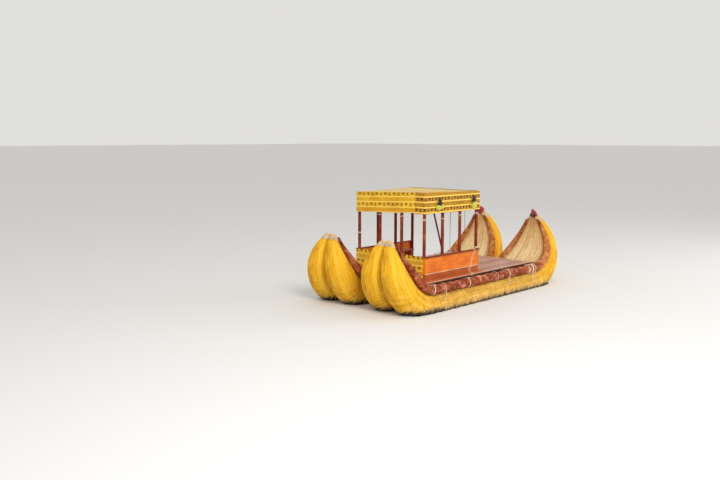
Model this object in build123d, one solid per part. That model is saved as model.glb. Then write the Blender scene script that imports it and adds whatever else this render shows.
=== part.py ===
from build123d import *
from math import cos, radians, sin
import os

os.makedirs("parts", exist_ok=True)

# Millimetres. +X is the bow, +Y is port, +Z is up; z = 0 is the flat the hulls stand on.

# Hulls: each is a pair of reed bundles, straight amidships and curled up at both ends
STRAIGHT_HALF = 2385     # half of the straight length amidships
CURL_RADIUS = 1190       # centreline radius of the curled ends
HULL_Y = 995             # centre plane of each hull
BUNDLE_R = 400
ROLL_R = 125             # gunwale rolls, lashed on the shoulder of each bundle
CLEAR = 0.3              # gap between pieces that are lashed or nailed together
CURL_CLEAR = 9           # the same gap up the curled ends

# angle up the curl, bundle and roll radius as a share of their own, lean of outer and inner roll
CURL_SHARES = [
    (0, 1.0, 1.0, 30, 48),
    (30, 1.0, 1.0, 30, 44),
    (60, 0.95, 0.93, 33, 36),
    (90, 0.705, 0.735, 36, 36),
]
TIP_SHARES = {"bow": (123, 0.28, 0.44, 38, 38), "stern": (116, 0.295, 0.45, 38, 38)}
CURLS = {end: [(a, r * BUNDLE_R, rr * ROLL_R, out, inn) for a, r, rr, out, inn in CURL_SHARES + [tip]]
         for end, tip in TIP_SHARES.items()}
LINING_FROM = 1          # first row of the table that the pale lining covers
LINING_W = 1.2           # its half width in bundle radii
LINING_AMID, LINING_EDGE = 0.07, 0.16    # its thickness in bundle radii

# Bow heads, which stand on the bow tips
NECK_R, NECK_H = 70, 60
SKULL_R, SKULL_RISE, SKULL_BACK = 72, 90, 30
SNOUT_R, SNOUT_L, SNOUT_DROP = 34, 120, 30
CREST_R, CREST_TIP_R, CREST_H, CREST_RISE = 58, 12, 130, 130

# Deck
DECK_Z = 1015
PLANK_T = 28
PLANKS = 16
PLANK_GAP = 5
AFT_OVERHANG, FWD_STEP = 245, 5          # the deck past the straight part aft, and short of its end forward
DECK_AFT, DECK_FWD = -STRAIGHT_HALF - AFT_OVERHANG, STRAIGHT_HALF - FWD_STEP
DECK_TO_ROLL = 17        # gap between the deck's side and the outer gunwale roll
EDGE_T, EDGE_H, EDGE_LIP = 25, 60, 4
BEAM_W = 90
BEAM_FROM_AFT, BEAM_FROM_FWD = 335, 235
BEAM_PRESS = 12          # how deep a beam lies in the bundle crowns
NOTCH_CLEAR = 3          # room around the inner rolls where they pass under the beams

# Cabin, about its own centre
CABIN_X = -1055
ROOF_HALF_L, ROOF_HALF_W = 1200, 1215
POST_R = 42
POST_INSET = 62
LEANING_R, PALE_R, POLE_SPARE = 25, 13, 200
VALANCE_TOP, VALANCE_BOTTOM = 3215, 2705
CLOTH_T = 3
PLATE_W, PLATE_H = 70, 60
RAFTER_W, RAFTER_H, RAFTERS = 45, 40, 6
MAT_T = 26
FASCIA_T = 18
WALL_TOP = 1625
WALL_T = 22
WALL_BOARDS, BOARD_GAP = 4, 3
CAP_W, CAP_H = 70, 30
BENCH_Z, BENCH_D, BENCH_T, BENCH_L = 430, 320, 28, 1900
BENCH_GAP = 2            # room between the benches and the posts
BENCH_LEG_IN = 20        # legs stand this far inside the seat's edges
AFT_CLOTH_FOOT = 25      # gap between the aft wall's cloth and the deck
TASSEL_XS = {"aft": -660, "fwd": 840}
TASSEL_TOP, TASSEL_H = 85, 205           # its point below the valance's top, and the cone's height
TASSEL_TIP_R, POMPOM_R = 8, 58           # the cone's foot is as wide as a pompom
CORD_R, CORD_X, CORD_L = 5, 600, 760
KNOB_R = 20

POST_X = ROOF_HALF_L - POST_INSET
POST_Y = ROOF_HALF_W - POST_INSET
BEAM_TOP = DECK_Z - PLANK_T
BEAM_BOTTOM = 2 * BUNDLE_R - BEAM_PRESS
BEAM_REACH = BUNDLE_R + ROLL_R + CLEAR
OUTER_ROLL_Y = HULL_Y + BUNDLE_R + CLEAR / 2 + BEAM_REACH * sin(radians(CURL_SHARES[0][3]))
DECK_HALF_W = OUTER_ROLL_Y - ROLL_R - DECK_TO_ROLL
PLANK_JOINT = CABIN_X + ROOF_HALF_L + 25       # the planks' two lengths meet on the middle beam
BEAM_XS = [DECK_AFT + BEAM_FROM_AFT, CABIN_X, PLANK_JOINT,
           (PLANK_JOINT + DECK_FWD - BEAM_FROM_FWD) / 2, DECK_FWD - BEAM_FROM_FWD]


def box(x0, x1, y0, y1, z0, z1):
    return Pos((x0 + x1) / 2, (y0 + y1) / 2, (z0 + z1) / 2) * Box(x1 - x0, y1 - y0, z1 - z0)


def cabin_box(x0, x1, y0, y1, z0, z1):
    return box(CABIN_X + x0, CABIN_X + x1, y0, y1, z0, z1)


def pole(start, end, radius):
    axis = Vector(*end) - Vector(*start)
    return extrude(Plane(origin=start, z_dir=axis) * Circle(radius), axis.length)


def save(name, pieces):
    shape = pieces[0] if len(pieces) == 1 else Compound(children=list(pieces))
    shape.label = name
    export_step(shape, f"parts/{name}.step")


def curl_plane(angle):
    a = radians(angle)
    origin = (STRAIGHT_HALF + CURL_RADIUS * sin(a), HULL_Y, BUNDLE_R + CURL_RADIUS * (1 - cos(a)))
    return Plane(origin=origin, x_dir=(0, 1, 0), z_dir=(cos(a), 0, sin(a)))


def run(circles):
    """A round piece from bow tip to stern tip; circles gives (angle, y, n, radius) up the curl at an end."""
    _, y, n, r = circles("bow")[0]
    amid = Plane(origin=(0, HULL_Y, BUNDLE_R), x_dir=(0, 1, 0), z_dir=(1, 0, 0))
    straight = extrude(amid * Pos(y, n) * Circle(r), STRAIGHT_HALF)
    half = {end: straight + loft([curl_plane(a) * Pos(cy, cn) * Circle(cr) for a, cy, cn, cr in circles(end)])
            for end in CURLS}
    return half["bow"] + mirror(half["stern"], Plane.YZ)


def gap_at(angle):
    return CLEAR if angle == 0 else CURL_CLEAR


def bundle(side):
    return run(lambda end: [(a, side * (r + gap_at(a) / 2), 0, r) for a, r, _, _, _ in CURLS[end]])


def roll(side):
    def circles(end):
        rows = []
        for a, r, rr, lean_out, lean_in in CURLS[end]:
            lean = radians(lean_out if side > 0 else lean_in)
            reach = r + rr + gap_at(a)
            rows.append((a, side * (r + gap_at(a) / 2 + reach * sin(lean)), reach * cos(lean), rr))
        return rows
    return run(circles)


def lining(end):
    """The pale facing between the two rolls on the inside of the bow curl or of the stern's mirror image."""
    sections = []
    for row, (a, r, _, _, _) in enumerate(CURLS[end][LINING_FROM:]):
        w, low = LINING_W * r, r + (2 * CLEAR if row == 0 else CURL_CLEAR)
        mid, edge = LINING_AMID * r, LINING_EDGE * r
        outline = [
            Line((-w, low + edge), (-w, low)),
            Line((-w, low), (w, low)),
            Line((w, low), (w, low + edge)),
            ThreePointArc((w, low + edge), (0, low + mid), (-w, low + edge)),
        ]
        sections.append(curl_plane(a) * make_face(outline))
    return loft(sections)


def bow_head():
    """A small crested head of reed that stands on the two bow tips."""
    tip = curl_plane(CURLS["bow"][-1][0])
    foot = tip * Pos(0, 0, CLEAR) * Cylinder(NECK_R, NECK_H, align=(Align.CENTER, Align.CENTER, Align.MIN))
    x, z = tip.origin.X - SKULL_BACK, tip.origin.Z
    skull = Pos(x, HULL_Y, z + SKULL_RISE) * Sphere(SKULL_R)
    snout = pole((x, HULL_Y, z + SKULL_RISE), (x - SNOUT_L, HULL_Y, z + SKULL_RISE - SNOUT_DROP), SNOUT_R)
    crest = Pos(x, HULL_Y, z + CREST_RISE) * Cone(CREST_R, CREST_TIP_R, CREST_H,
                                                  align=(Align.CENTER, Align.CENTER, Align.MIN))
    return foot + skull + snout + crest


# Port hull, then its mirror image
beam_y = DECK_HALF_W - EDGE_T - CLEAR
beam_boxes = [box(x - BEAM_W / 2, x + BEAM_W / 2, -beam_y, beam_y, BEAM_BOTTOM, BEAM_TOP) for x in BEAM_XS]
beam_seats = [box(x - BEAM_W / 2 - CLEAR, x + BEAM_W / 2 + CLEAR, -DECK_HALF_W, DECK_HALF_W,
                  BEAM_BOTTOM - CLEAR, BEAM_TOP) for x in BEAM_XS]
hull = {
    "outer_bundle": bundle(1) - beam_seats,
    "inner_bundle": bundle(-1) - beam_seats,
    "outer_roll": roll(1),
    "inner_roll": roll(-1),
    "bow_lining": lining("bow"),
    "stern_lining": mirror(lining("stern"), Plane.YZ),
    "bow_head": bow_head(),
}
for name, shape in hull.items():
    save(f"{name}_port", [shape])
    save(f"{name}_stbd", [mirror(shape, Plane.XZ)])

# Cross beams, notched over the inner rolls
lean = radians(CURL_SHARES[0][4])
roll_y = HULL_Y - BUNDLE_R - CLEAR / 2 - BEAM_REACH * sin(lean)
roll_z = BUNDLE_R + BEAM_REACH * cos(lean)
notches = [pole((-STRAIGHT_HALF, s * roll_y, roll_z), (STRAIGHT_HALF, s * roll_y, roll_z), ROLL_R + NOTCH_CLEAR)
           for s in (1, -1)]
save("cross_beams", [beam - notches for beam in beam_boxes])

# Deck planks in two lengths, and the boards around their edge
plank_y = beam_y
pitch = (2 * plank_y + PLANK_GAP) / PLANKS
for name, x0, x1 in (("cabin_planks", DECK_AFT + EDGE_T + CLEAR, PLANK_JOINT - 1),
                     ("foredeck_planks", PLANK_JOINT + 1, DECK_FWD - EDGE_T - CLEAR)):
    save(name, [box(x0, x1, -plank_y + i * pitch, -plank_y + (i + 1) * pitch - PLANK_GAP, BEAM_TOP, DECK_Z)
                for i in range(PLANKS)])
edge_z = (DECK_Z + EDGE_LIP - EDGE_H, DECK_Z + EDGE_LIP)
for name, s in (("port", 1), ("stbd", -1)):
    y0, y1 = sorted((s * (DECK_HALF_W - EDGE_T), s * DECK_HALF_W))
    save(f"deck_edge_{name}", [box(DECK_AFT, DECK_FWD, y0, y1, *edge_z)])
for name, x0 in (("aft", DECK_AFT), ("fwd", DECK_FWD - EDGE_T)):
    save(f"deck_edge_{name}", [box(x0, x0 + EDGE_T, -plank_y, plank_y, *edge_z)])

# Posts, which stand on the deck and carry the plate
PLATE_Z = VALANCE_TOP - MAT_T - RAFTER_H - PLATE_H


def post(x, y):
    return pole((CABIN_X + x, y, DECK_Z), (CABIN_X + x, y, PLATE_Z), POST_R)


save("corner_posts", [post(x, y) for x in (-POST_X, POST_X) for y in (-POST_Y, POST_Y)])
save("aft_posts", [post(-POST_X, y) for y in (-POST_Y / 3, POST_Y / 3)])
for name, s in (("port", 1), ("stbd", -1)):
    save(f"side_posts_{name}", [post(x, s * POST_Y) for x in (-POST_X / 3, POST_X / 3)])

# Roof: plate on the posts, rafters across it, fascia boards around and a reed mat on top
half = PLATE_W / 2
plates = [cabin_box(-POST_X - half, POST_X + half, s * POST_Y - half, s * POST_Y + half, PLATE_Z, PLATE_Z + PLATE_H)
          for s in (1, -1)]
plates += [cabin_box(s * POST_X - half, s * POST_X + half, -POST_Y + half + CLEAR, POST_Y - half - CLEAR,
                     PLATE_Z, PLATE_Z + PLATE_H) for s in (1, -1)]
save("roof_plates", plates)
fascia_x, fascia_y = ROOF_HALF_L - CLOTH_T - CLEAR, ROOF_HALF_W - CLOTH_T - CLEAR
rafter_z = PLATE_Z + PLATE_H
rafter_pitch = 2 * POST_X / (RAFTERS - 1)
rafter_y = fascia_y - FASCIA_T - CLEAR
save("rafters", [cabin_box(-POST_X + i * rafter_pitch - RAFTER_W / 2, -POST_X + i * rafter_pitch + RAFTER_W / 2,
                           -rafter_y, rafter_y, rafter_z, rafter_z + RAFTER_H) for i in range(RAFTERS)])
fascia = [cabin_box(-fascia_x, fascia_x, *sorted((s * (fascia_y - FASCIA_T), s * fascia_y)),
                    PLATE_Z, rafter_z + RAFTER_H) for s in (1, -1)]
fascia += [cabin_box(*sorted((s * (fascia_x - FASCIA_T), s * fascia_x)), -rafter_y, rafter_y,
                     PLATE_Z, rafter_z + RAFTER_H) for s in (1, -1)]
save("fascia_boards", fascia)
save("roof_mat", [cabin_box(-fascia_x, fascia_x, -fascia_y, fascia_y, rafter_z + RAFTER_H, VALANCE_TOP)])

# Valance cloths around the roof
for name, s in (("port", 1), ("stbd", -1)):
    y0, y1 = sorted((s * (ROOF_HALF_W - CLOTH_T), s * ROOF_HALF_W))
    save(f"valance_{name}", [cabin_box(-ROOF_HALF_L, ROOF_HALF_L, y0, y1, VALANCE_BOTTOM, VALANCE_TOP)])
inner = ROOF_HALF_W - CLOTH_T - CLEAR
for name, s in (("fwd", 1), ("aft", -1)):
    x0, x1 = sorted((s * (ROOF_HALF_L - CLOTH_T), s * ROOF_HALF_L))
    save(f"valance_{name}", [cabin_box(x0, x1, -inner, inner, VALANCE_BOTTOM, VALANCE_TOP)])

# Low walls: boards outside the posts, a cap on each side wall and a cloth over the aft wall
wall_y = POST_Y + POST_R + CLEAR
wall_x = POST_X + POST_R + CLEAR
board_h = (WALL_TOP - CAP_H - DECK_Z) / WALL_BOARDS
for name, s in (("port", 1), ("stbd", -1)):
    y0, y1 = sorted((s * wall_y, s * (wall_y + WALL_T)))
    save(f"side_wall_{name}", [cabin_box(-wall_x, POST_X + POST_R, y0, y1, DECK_Z + i * board_h,
                                         DECK_Z + (i + 1) * board_h - (BOARD_GAP if i < WALL_BOARDS - 1 else 0))
                               for i in range(WALL_BOARDS)])
    c0, c1 = sorted((s * wall_y, s * (wall_y + CAP_W)))
    save(f"wall_cap_{name}", [cabin_box(-wall_x, POST_X + POST_R, c0, c1, WALL_TOP - CAP_H, WALL_TOP)])
aft_top = WALL_TOP - CLOTH_T - CLEAR
aft_y = wall_y - CLEAR
board_h = (aft_top - DECK_Z) / WALL_BOARDS
save("aft_wall", [cabin_box(-wall_x - WALL_T, -wall_x, -aft_y, aft_y, DECK_Z + i * board_h,
                            DECK_Z + (i + 1) * board_h - (BOARD_GAP if i < WALL_BOARDS - 1 else 0))
                  for i in range(WALL_BOARDS)])
flap = cabin_box(-wall_x - WALL_T - CLEAR - CLOTH_T, -wall_x - WALL_T - CLEAR, -aft_y, aft_y,
                 DECK_Z + AFT_CLOTH_FOOT, WALL_TOP)
fold = cabin_box(-wall_x - WALL_T - CLEAR - CLOTH_T, -wall_x, -aft_y, aft_y, WALL_TOP - CLOTH_T, WALL_TOP)
save("aft_wall_cloth", [flap + fold])

# Benches along the two sides and across the aft wall
seat_z = (DECK_Z + BENCH_Z - BENCH_T, DECK_Z + BENCH_Z)
bench_out = POST_Y - POST_R - BENCH_GAP
bench_in = bench_out - BENCH_D
bench_x = -POST_X + POST_R + BENCH_GAP
for name, s in (("port", 1), ("stbd", -1)):
    seat = cabin_box(bench_x, bench_x + BENCH_L, *sorted((s * bench_in, s * bench_out)), *seat_z)
    legs = [cabin_box(bench_x + t * (BENCH_L - BENCH_T), bench_x + t * (BENCH_L - BENCH_T) + BENCH_T,
                      *sorted((s * (bench_in + BENCH_LEG_IN), s * (bench_out - BENCH_LEG_IN))), DECK_Z, seat_z[0])
            for t in (0.04, 0.5, 0.96)]
    save(f"bench_{name}", [seat + legs])
span = bench_in - CLEAR
seat = cabin_box(bench_x, bench_x + BENCH_D, -span, span, *seat_z)
legs = [cabin_box(bench_x + BENCH_LEG_IN, bench_x + BENCH_D - BENCH_LEG_IN, y - BENCH_T / 2, y + BENCH_T / 2,
                  DECK_Z, seat_z[0]) for y in (-0.8 * span, 0, 0.8 * span)]
save("bench_aft", [seat + legs])

# Two loose poles that stand in the entrance under the forward plate
between = cabin_box(0, ROOF_HALF_L, -POST_Y, POST_Y, DECK_Z, PLATE_Z)
x = CABIN_X + POST_X
foot, head = (x, -0.15 * POST_Y, DECK_Z - POLE_SPARE), (x, 0.50 * POST_Y, PLATE_Z + POLE_SPARE)
save("leaning_pole", [pole(foot, head, LEANING_R) & between])
save("pale_pole", [pole((x, -0.225 * POST_Y, DECK_Z), (x, -0.225 * POST_Y, PLATE_Z), PALE_R)])

# Tassels on the starboard valance, each a cone over two pompoms, and the cord that hangs inside it
for name, x in TASSEL_XS.items():
    hook = Pos(CABIN_X + x, -ROOF_HALF_W - CLEAR - POMPOM_R, VALANCE_TOP - TASSEL_TOP)
    cone = Cone(POMPOM_R, TASSEL_TIP_R, TASSEL_H, align=(Align.CENTER, Align.CENTER, Align.MAX))
    pompoms = [Pos(s * (POMPOM_R + CLEAR / 2), 0, -TASSEL_H - CLEAR - POMPOM_R) * Sphere(POMPOM_R)
               for s in (-1, 1)]
    save(f"tassel_{name}", [hook * piece for piece in [cone] + pompoms])
cord_x, cord_y, cord_top = CABIN_X + CORD_X, -POST_Y, PLATE_Z - CLEAR
cord = pole((cord_x, cord_y, cord_top - CORD_L), (cord_x, cord_y, cord_top), CORD_R)
save("hanging_cord", [cord + Pos(cord_x, cord_y, cord_top - CORD_L) * Sphere(KNOB_R)])
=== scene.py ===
import bpy
import math
import numpy as np
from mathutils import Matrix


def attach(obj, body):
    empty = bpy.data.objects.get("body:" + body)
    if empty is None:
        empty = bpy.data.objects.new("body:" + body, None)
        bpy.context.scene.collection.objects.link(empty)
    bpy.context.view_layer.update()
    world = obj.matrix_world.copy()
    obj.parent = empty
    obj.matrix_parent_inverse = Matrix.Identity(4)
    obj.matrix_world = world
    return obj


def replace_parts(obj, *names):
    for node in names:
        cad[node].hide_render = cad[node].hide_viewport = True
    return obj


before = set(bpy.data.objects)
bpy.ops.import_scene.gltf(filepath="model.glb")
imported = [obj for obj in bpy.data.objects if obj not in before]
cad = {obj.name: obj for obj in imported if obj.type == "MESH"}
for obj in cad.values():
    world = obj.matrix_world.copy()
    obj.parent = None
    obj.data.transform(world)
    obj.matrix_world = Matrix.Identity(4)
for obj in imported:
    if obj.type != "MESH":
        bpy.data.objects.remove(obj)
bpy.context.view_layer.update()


# Reed skin, the material of every bound reed piece. Long reeds lie side by side along the piece and
# thin threads cross them, as in the mats that are wound round a bundle. It reads the piece's UV map:
# metres along the reeds, and a share of the way across them.

class Value:
    """A value in a node tree; the signs between two values add the Math node that they stand for."""

    def __init__(self, socket):
        self.socket = socket

    def __add__(self, other):
        return maths("ADD", self, other)

    def __sub__(self, other):
        return maths("SUBTRACT", self, other)

    def __rsub__(self, other):
        return maths("SUBTRACT", other, self)

    def __mul__(self, other):
        return maths("MULTIPLY", self, other)

    def __truediv__(self, other):
        return maths("DIVIDE", self, other)

    def __lt__(self, other):
        return maths("LESS_THAN", self, other)

    def __gt__(self, other):
        return maths("GREATER_THAN", self, other)

    def __abs__(self):
        return maths("ABSOLUTE", self)


def feed(spot, value):
    """Links a value, an output or a node's first output to an input, or sets the input to a constant."""
    if isinstance(value, bpy.types.Node):
        value = next(out for out in value.outputs if out.enabled)
    value = getattr(value, "socket", value)
    if isinstance(value, bpy.types.NodeSocket):
        spot.id_data.links.new(value, spot)
    else:
        spot.default_value = (*value, 1) if spot.type == "RGBA" else value


def tree_of(*values):
    return next(value.socket.id_data for value in values if isinstance(value, Value))


def shader(tree, kind, **values):
    """Adds a shader node; values set its inputs by name, or its settings."""
    node = tree.nodes.new("ShaderNode" + kind)
    for name, value in values.items():
        spot = name.replace("_", " ")
        if spot in node.inputs:
            feed(node.inputs[spot], value)
        else:
            setattr(node, name, value)
    return node


def maths(operation, *values, clamp=False):
    node = tree_of(*values).nodes.new("ShaderNodeMath")
    node.operation, node.use_clamp = operation, clamp
    for spot, value in zip(node.inputs, values):
        feed(spot, value)
    return Value(node.outputs[0])


def vector(*parts):
    node = tree_of(*parts).nodes.new("ShaderNodeCombineXYZ")
    for spot, part in zip(node.inputs, parts):
        feed(spot, part)
    return Value(node.outputs[0])


def place(tree, kind="Object"):
    """The place on the piece, whole and in its three parts."""
    whole = Value(shader(tree, "TexCoord").outputs[kind])
    return whole, *(Value(out) for out in shader(tree, "SeparateXYZ", Vector=whole).outputs)


def noise(where, scale, detail=3.0, rough=0.55):
    """Uneven light and dark; where is a place, or its three parts."""
    if isinstance(where, tuple):
        where = vector(*where)
    return Value(shader(tree_of(where), "TexNoise", Vector=where, Scale=scale, Detail=detail,
                        Roughness=rough).outputs["Fac"])


def toss(whole):
    """A number between 0 and 1 for each whole number."""
    return Value(shader(tree_of(whole), "TexWhiteNoise", noise_dimensions="1D", W=whole).outputs["Value"])


def add_socket(group, label, in_out, sort):
    return group.interface.new_socket(label.replace("_", " "), in_out=in_out, socket_type="NodeSocket" + sort)


def start_group(name, kind="ShaderNodeTree", **inputs):
    """Starts a node group; inputs give their start values. Returns it and its inputs by name."""
    group = bpy.data.node_groups.new(name, kind)
    for label, start in inputs.items():
        sort = {float: "Float", int: "Int", bool: "Bool"}.get(type(start), label)
        socket = add_socket(group, label, "INPUT", sort)
        if start is not None:
            socket.default_value = start
    return group, {out.name: Value(out) for out in group.nodes.new("NodeGroupInput").outputs if out.name}


def end_group(group, **results):
    """Gives a node group its results by name."""
    for label in results:
        add_socket(group, label, "OUTPUT", "Geometry" if label == "Geometry" else "Float")
    for spot, value in zip(group.nodes.new("NodeGroupOutput").inputs, results.values()):
        feed(spot, value)


reed_weave, given = start_group("reed weave", Reeds=120.0, Thread_Pitch=0.09, Raggedness=0.3)
_, u, v, _ = place(reed_weave, "UV")
across = (noise((u, v, 0.0), 1.3) * 0.06 + v) * given["Reeds"]
reed = maths("FLOOR", across)
tone = toss(reed)
round_reed = 1.0 - maths("POWER", abs(maths("FRACT", across) - 0.5) * 2.0, 2.6)
wander = given["Raggedness"] * noise((u, v * 6.0, 1.0), 3.0)
off_thread = abs(maths("FRACT", u / given["Thread Pitch"] + wander) - 0.5)
pinch = maths("SUBTRACT", 1.0, off_thread * 4.0, clamp=True)
end_group(reed_weave, Tone=tone, Thread=maths("SUBTRACT", 1.0, off_thread * 14.0, clamp=True),
          Height=tone * 0.35 + round_reed - pinch * 0.55, Streak=noise((u * 2.2, reed * 0.37, 0.0), 2.0, 4.0))


# Reed bundles. Two lie side by side in each hull, straight amidships and curled up and back at both
# ends, where they taper to a bound tip. Dry golden reed, duller amidships, dark where it is wet, and
# near-black at the waterline, which is also painted shade where the hull meets the water.

curl_rows = (    # degrees up the curl, bundle radius, roll radius, lean of the outer and of the inner roll
    (0, 0.400, 0.125, 30, 48),
    (30, 0.400, 0.125, 30, 44),
    (60, 0.380, 0.11625, 33, 36),
    (90, 0.282, 0.091875, 36, 36),
)
bow_tip, stern_tip = (123, 0.100, 0.043, 38, 38), (116, 0.099, 0.038, 38, 38)
bundle_radius, roll_radius, outer_lean, inner_lean = 1, 2, 3, 4
straight_half, curl_radius, hull_y, keel_r = 2.385, 1.190, 0.995, 0.400
sideways = np.array([0, 1.0, 0])
sides = (("port", 1), ("stbd", -1))
lanes = (("outer", 1), ("inner", -1))


def row_value(angle, column):
    """One column of curl_rows at an angle up the curl (minus at the stern), eased from row to row."""
    rows = curl_rows + ((bow_tip,) if angle > 0 else (stern_tip,))
    angle = abs(angle)
    at = [row[0] for row in rows]
    value = [row[column] for row in rows]
    slope = np.gradient(value, at)
    slope[0] = 0
    i = int(min(max(np.searchsorted(at, angle) - 1, 0), len(at) - 2))
    h = at[i + 1] - at[i]
    t = (angle - at[i]) / h
    return ((1 + 2 * t) * (1 - t) ** 2 * value[i] + t * (1 - t) ** 2 * h * slope[i]
            + t * t * (3 - 2 * t) * value[i + 1] + t * t * (t - 1) * h * slope[i + 1])


def station(x, angle):
    """Centreline point, the direction away from the keel and the direction of run, in a hull's own plane."""
    a = math.radians(angle)
    base = x + math.copysign(curl_radius * math.sin(abs(a)), a)
    return (np.array([base, 0, keel_r + curl_radius * (1 - math.cos(a))]),
            np.array([-math.sin(a), 0, math.cos(a)]), np.array([math.cos(a), 0, math.sin(a)]))


def run_of_stations(flat, curled):
    """(x, angle, metres along) from the stern tip to the bow tip."""
    stern = [(-straight_half, -a) for a in np.linspace(stern_tip[0], 0, curled)]
    amid = [(x, 0.0) for x in np.linspace(-straight_half, straight_half, flat)[1:-1]]
    bow = [(straight_half, a) for a in np.linspace(0, bow_tip[0], curled)]
    return [(x, angle, x + curl_radius * math.radians(angle)) for x, angle in stern + amid + bow]


flat_gap, gap_gained, full_gap_at = 0.0003, 0.0087, 30    # metres, metres, degrees up the curl


def seat_gap(angle):
    """The air between two bundles, or between a bundle and its roll."""
    return flat_gap if angle == 0 else flat_gap + gap_gained * min(abs(angle) / full_gap_at, 1)


def bundle_centre(x, angle, hull_side, lane):
    """A bundle's centre at a station, with the station's two directions and the bundle's radius."""
    base, out, along = station(x, angle)
    r = row_value(angle, bundle_radius)
    return base + hull_side * (hull_y + lane * (r + seat_gap(angle) / 2)) * sideways, out, along, r


def hoop(centre, radius, turn, out):
    """Points round a centre, from the side that is away from the keel."""
    return centre + radius[:, None] * (np.cos(turn)[:, None] * out + np.sin(turn)[:, None] * sideways)


def skin(name, points, u, v, material, closed=True):
    """A mesh on rows of points, with a UV map. A closed one is joined from side to side and has caps."""
    rows, columns = points.shape[:2]
    v = np.broadcast_to(v, (rows, np.shape(v)[-1]))
    verts = points.reshape(-1, 3).tolist()
    faces, uvs = [], []
    for i in range(rows - 1):
        for j in range(columns if closed else columns - 1):
            k = (j + 1) % columns
            low, high = i * columns, (i + 1) * columns
            faces.append((low + j, low + k, high + k, high + j))
            uvs += [(u[i], v[i, j]), (u[i], v[i, j + 1])]
            uvs += [(u[i + 1], v[i + 1, j + 1]), (u[i + 1], v[i + 1, j])]
    for i in (0, rows - 1) if closed else ():
        verts.append(points[i].mean(0).tolist())
        centre = len(verts) - 1
        for j in range(columns):
            k = (j + 1) % columns
            edge = (i * columns + k, i * columns + j) if i == 0 else (i * columns + j, i * columns + k)
            faces.append((*edge, centre))
            uvs += [(u[i], v[i, j]), (u[i], v[i, j + 1]), (u[i], v[i, j])]
    mesh = bpy.data.meshes.new(name)
    mesh.from_pydata(verts, [], faces)
    mesh.uv_layers.new(name="UVMap").data.foreach_set("uv", [c for uv in uvs for c in uv])
    mesh.shade_smooth()
    mesh.materials.append(material)
    return mesh


def stand(name, data):
    """Puts a new piece in the scene."""
    piece = bpy.data.objects.new(name, data)
    bpy.context.scene.collection.objects.link(piece)
    return piece


def use(tree, group, **values):
    """Places a group in a material with its own values; returns its results by name."""
    node = tree.nodes.new("ShaderNodeGroup")
    node.node_tree = group
    for name, value in values.items():
        feed(node.inputs[name.replace("_", " ")], value)
    return {out.name: Value(out) for out in node.outputs}


def span(value, low, high, at_low=0.0, at_high=1.0):
    """Goes from at_low to at_high while value goes from low to high, and keeps level beyond them."""
    return Value(shader(tree_of(value), "MapRange", Value=value, From_Min=low, From_Max=high,
                        To_Min=at_low, To_Max=at_high).outputs[0])


def ramp(value, *stops):
    """A colour that follows value through stops of (place, colour)."""
    node = tree_of(value).nodes.new("ShaderNodeValToRGB")
    while len(node.color_ramp.elements) < len(stops):
        node.color_ramp.elements.new(0.5)
    for element, (at, colour) in zip(node.color_ramp.elements, stops):
        element.position = at
        element.color = (*colour, 1)
    feed(node.inputs[0], value)
    return Value(node.outputs[0])


def blend(share, a, b):
    """Colour a where share is 0, and colour b where it is 1."""
    node = tree_of(share, a, b).nodes.new("ShaderNodeMix")
    node.data_type = "RGBA"
    for i, value in ((0, share), (6, a), (7, b)):
        feed(node.inputs[i], value)
    return Value(node.outputs[2])


def finish_material(name, paint, rough=0.6, depth=0.004, coat=0.0, sheen=0.0, shine=0.5):
    """A material; paint(tree) gives its colour, or its colour, height and roughness by name."""
    material = bpy.data.materials.new(name)
    material.use_nodes = True
    tree = material.node_tree
    tree.nodes.clear()
    made = paint(tree)
    if not isinstance(made, dict):
        made = {"colour": made}
    surface = shader(tree, "BsdfPrincipled", Base_Color=made["colour"], Roughness=made.get("rough", rough),
                     Specular_IOR_Level=shine, Coat_Weight=coat, Sheen_Weight=sheen)
    shader(tree, "OutputMaterial", Surface=surface)
    if "height" in made:
        bump = shader(tree, "Bump", Height=made["height"], Distance=depth, Strength=1.0)
        feed(surface.inputs["Normal"], bump)
    return material


def reed_gold(tree):
    cells = use(tree, reed_weave, Reeds=116, Thread_Pitch=0.048, Raggedness=0.5)
    _, u, v, _ = place(tree, "UV")
    where, x, y, z = place(tree)
    near_end = span(noise(where, 1.6, 4.0) * 0.5 + (abs(x) - 0.25), 2.1, 3.0)
    sheaf = noise((u * 1.3, v * 30.0, y), 1.0, 4.0, 0.6)
    mixed = sheaf * 0.45 + (cells["Streak"] * 0.45 + cells["Tone"] * 0.2)
    straw = ramp(mixed, (0.30, (0.38, 0.18, 0.016)), (0.53, (0.80, 0.42, 0.045)), (0.75, (0.97, 0.67, 0.16)))
    gold = ramp(mixed, (0.30, (0.55, 0.22, 0.003)), (0.53, (0.93, 0.46, 0.006)), (0.75, (0.99, 0.68, 0.07)))
    dry = blend(near_end, straw, gold)
    hanging = noise((u * 16.0, v * 5.0, y), 1.0, 4.0, 0.65)
    low = span(z, 1.15, 0.35)
    dry = blend(span(hanging, 0.50, 0.64) * (low * 0.55), dry, (0.40, 0.19, 0.022))
    dry = blend(span(hanging, 0.44, 0.34) * (low * 0.5), dry, (0.96, 0.74, 0.30))
    dry = blend(cells["Thread"] * 0.35, dry, (0.42, 0.25, 0.07))
    rinsed = span(z, 0.47, 0.34)
    dry = blend(rinsed * 0.55, dry, (0.68, 0.45, 0.20))
    # A near-black band with a ragged top along the waterline, higher aft: wet reed, and painted shade where
    # the hull meets the water.
    freeboard = span(x, -2.7, -1.6, 0.19, 0.262)
    ragged = noise((x * 14.0, z * 2.0, y), 2.2, 5.0, 0.7)
    above_wet_and_shade = span(ragged * -0.60 + (z + freeboard), 0.26, 0.34)
    thinner_up_the_curl = span(z, 0.9, 2.2, 1.0, 0.18)
    return {"colour": blend(above_wet_and_shade, (0.035, 0.024, 0.010), dry),
            "height": cells["Height"] * thinner_up_the_curl, "rough": above_wet_and_shade * 0.35 + 0.3}


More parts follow.
